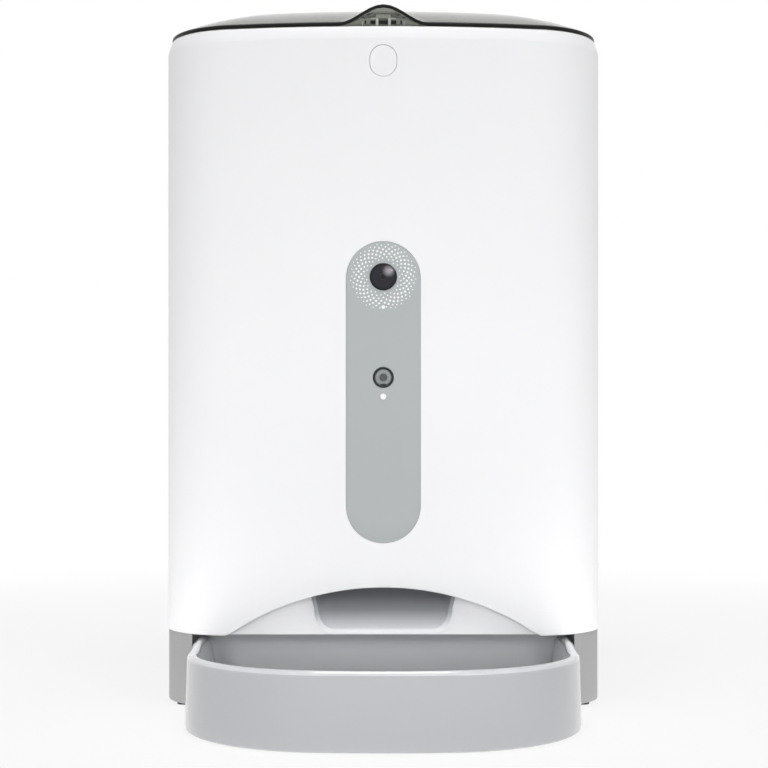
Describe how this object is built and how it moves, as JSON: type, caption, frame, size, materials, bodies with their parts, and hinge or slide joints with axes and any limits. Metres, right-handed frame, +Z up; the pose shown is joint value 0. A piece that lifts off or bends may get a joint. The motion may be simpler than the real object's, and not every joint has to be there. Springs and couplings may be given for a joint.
{
  "type": "automatic pet feeder with camera",
  "caption": "Upright automatic pet feeder: white food tower with hinged smoke lid, front camera panel, motor-driven portion rotor, chute and a slide-in bowl.",
  "frame": {"origin": "middle of the feeder's footprint, bowl included, on the surface it stands on", "axes": "+Z up, -Y towards the bowl and the camera's view, +X to the right seen from the bowl"},
  "size_m": [0.216, 0.314, 0.3488],
  "materials": {
    "white_shell": "satin moulded ABS",
    "grey_panel": "satin printed film on ABS",
    "lens_glass": "polished black window",
    "black_plastic": "satin moulded",
    "lamp_lens": "smoked clear",
    "light_pipe": "milky clear",
    "circuit_board": "solder mask",
    "screw_steel": "zinc plated",
    "smoke_lid": "polished translucent smoke",
    "seal_rubber": "matt silicone",
    "white_inner": "moulded polypropylene",
    "shaft_steel": "ground",
    "rotor_plastic": "moulded",
    "bush_bronze": "sintered",
    "gear_acetal": "moulded acetal",
    "motor_steel": "drawn can",
    "chute_plastic": "moulded",
    "outlet_grey": "satin moulded",
    "base_grey": "satin moulded ABS",
    "cell_wrap": "printed wrap",
    "contact_brass": "plated",
    "foot_rubber": "matt",
    "bowl_grey": "smooth moulded ABS"
  },
  "bodies": {
    "body": {"outer_shell": "white_shell", "top_frame": "white_shell", "front_panel": "grey_panel", "camera_window": "lens_glass", "camera_barrel": "black_plastic", "lamp_bezel": "black_plastic", "dc_jack": "black_plastic", "speaker": "black_plastic", "infrared_lamp": "lamp_lens", "status_light": "light_pipe", "recording_light": "light_pipe", "camera_board": "circuit_board", "main_board": "circuit_board", "board_screws": "screw_steel", "gear_plate_screws": "screw_steel", "case_screws": "screw_steel", "housing_screws": "screw_steel", "battery_door_screw": "screw_steel", "hopper": "white_inner", "baffle_plate": "white_inner", "dispenser_housing": "white_inner", "gear_plate": "white_inner", "hinge_pin": "shaft_steel", "idler_axle": "shaft_steel", "latch_spring": "shaft_steel", "shaft_bushes": "bush_bronze", "motor": "motor_steel", "chute": "chute_plastic", "outlet_panel": "outlet_grey", "base_tub": "base_grey", "battery_door": "base_grey", "battery_cells": "cell_wrap", "battery_contacts": "contact_brass", "feet": "foot_rubber"},
    "lid": {"lid": "smoke_lid", "lid_seal": "seal_rubber", "lid_catch": "white_inner", "lid_hinge": "smoke_lid"},
    "latch": {"latch_button": "white_shell", "latch_slider": "white_inner"},
    "rotor": {"rotor": "rotor_plastic", "rotor_shaft": "shaft_steel", "agitator": "rotor_plastic", "rotor_gear": "gear_acetal"},
    "idler": {"idler_gear": "gear_acetal"},
    "pinion": {"motor_pinion": "bush_bronze", "motor_shaft": "shaft_steel"},
    "bowl": {"bowl": "bowl_grey"}
  },
  "joints": [
    {"name": "lid_hinge", "type": "hinge", "parent": "body", "child": "lid", "pos_m": [0, 0.1516, 0.3324], "axis": [-1, 0, 0], "range_deg": [0, 95]},
    {"name": "button_press", "type": "slide", "parent": "body", "child": "latch", "axis": [0, 1, 0], "range_m": [0, 0.0025], "stiffness_N_per_m": 600, "springref_m": -0.002, "deforming": ["latch_spring"]},
    {"name": "rotor_spin", "type": "hinge", "parent": "body", "child": "rotor", "pos_m": [0, 0.061, 0.1], "axis": [0, 0, 1], "continuous": true},
    {"name": "idler_spin", "type": "hinge", "parent": "body", "child": "idler", "pos_m": [0, 0.096, 0.1], "axis": [0, 0, 1], "continuous": true},
    {"name": "pinion_spin", "type": "hinge", "parent": "body", "child": "pinion", "pos_m": [0, 0.123, 0.1], "axis": [0, 0, 1], "continuous": true},
    {"name": "bowl_slide", "type": "slide", "parent": "body", "child": "bowl", "axis": [0, -1, 0], "range_m": [0, 0.16]}
  ],
  "couplings": [
    {"joint": "idler_spin", "follows": "rotor_spin", "ratio": -4},
    {"joint": "pinion_spin", "follows": "rotor_spin", "ratio": 14}
  ]
}
